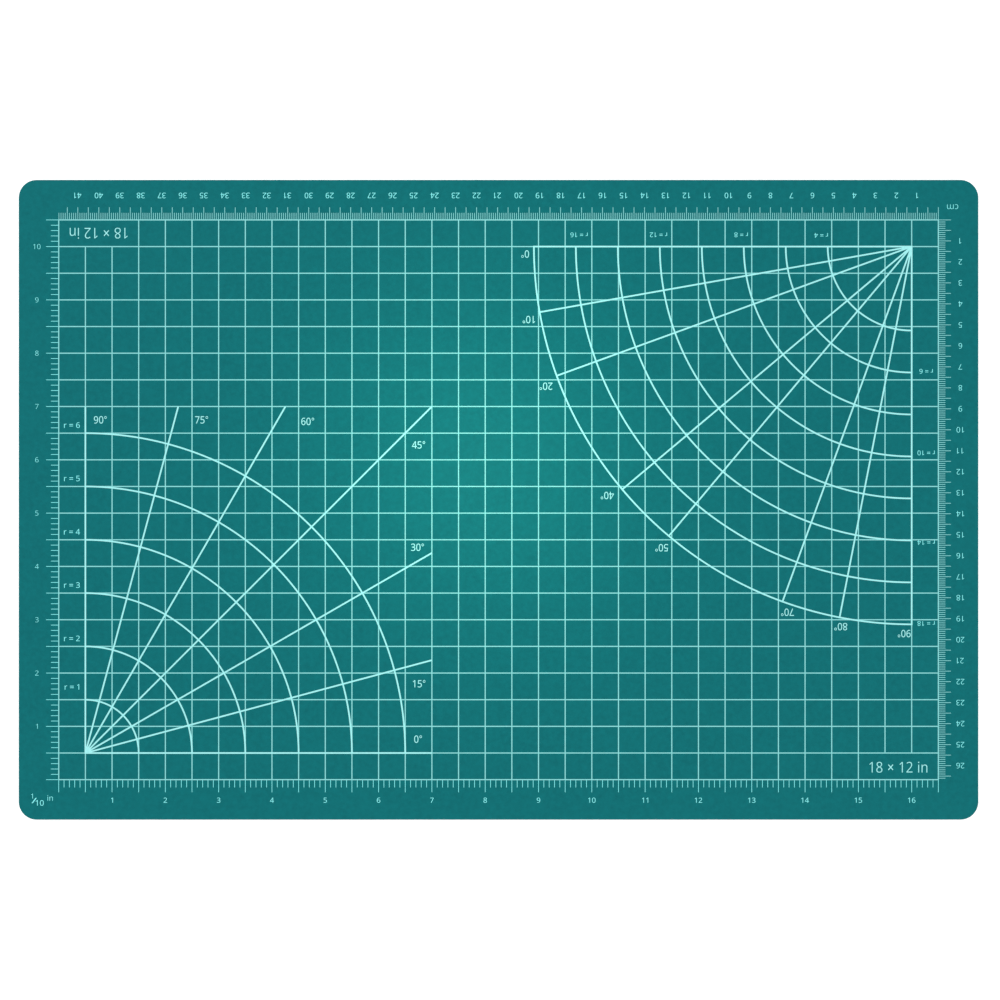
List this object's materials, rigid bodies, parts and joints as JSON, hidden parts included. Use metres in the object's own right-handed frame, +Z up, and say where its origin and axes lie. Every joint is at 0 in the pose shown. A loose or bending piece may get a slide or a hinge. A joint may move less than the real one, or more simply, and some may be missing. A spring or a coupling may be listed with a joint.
{
  "type": "self healing cutting mat",
  "caption": "Flat rectangular self healing cutting mat of bonded soft and stiff plies, printed with a half-inch grid, inch and centimetre rulers and two protractors.",
  "frame": {"origin": "centre of the underside's rectangle, on the plane the mat rests on", "axes": "+X along the long side, to the right when the inch numerals read upright; +Y along the short side, away from the inch ruler's long scale; +Z up out of the printed face"},
  "size_m": [0.4572, 0.3048, 0.0031],
  "materials": {
    "teal_pvc": "matte",
    "cushion_pvc": "matte",
    "core_sheet": "matte",
    "mint_ink": "matte"
  },
  "bodies": {
    "root": {"bottom_healing_layer": "teal_pvc", "lower_cushion_layer": "cushion_pvc", "rigid_core": "core_sheet", "upper_cushion_layer": "cushion_pvc", "top_healing_layer": "teal_pvc", "cross_grid_lines": "mint_ink", "upright_grid_lines": "mint_ink", "inch_ruler": "mint_ink", "centimetre_ruler": "mint_ink", "inch_protractor": "mint_ink", "centimetre_protractor": "mint_ink"}
  },
  "joints": []
}
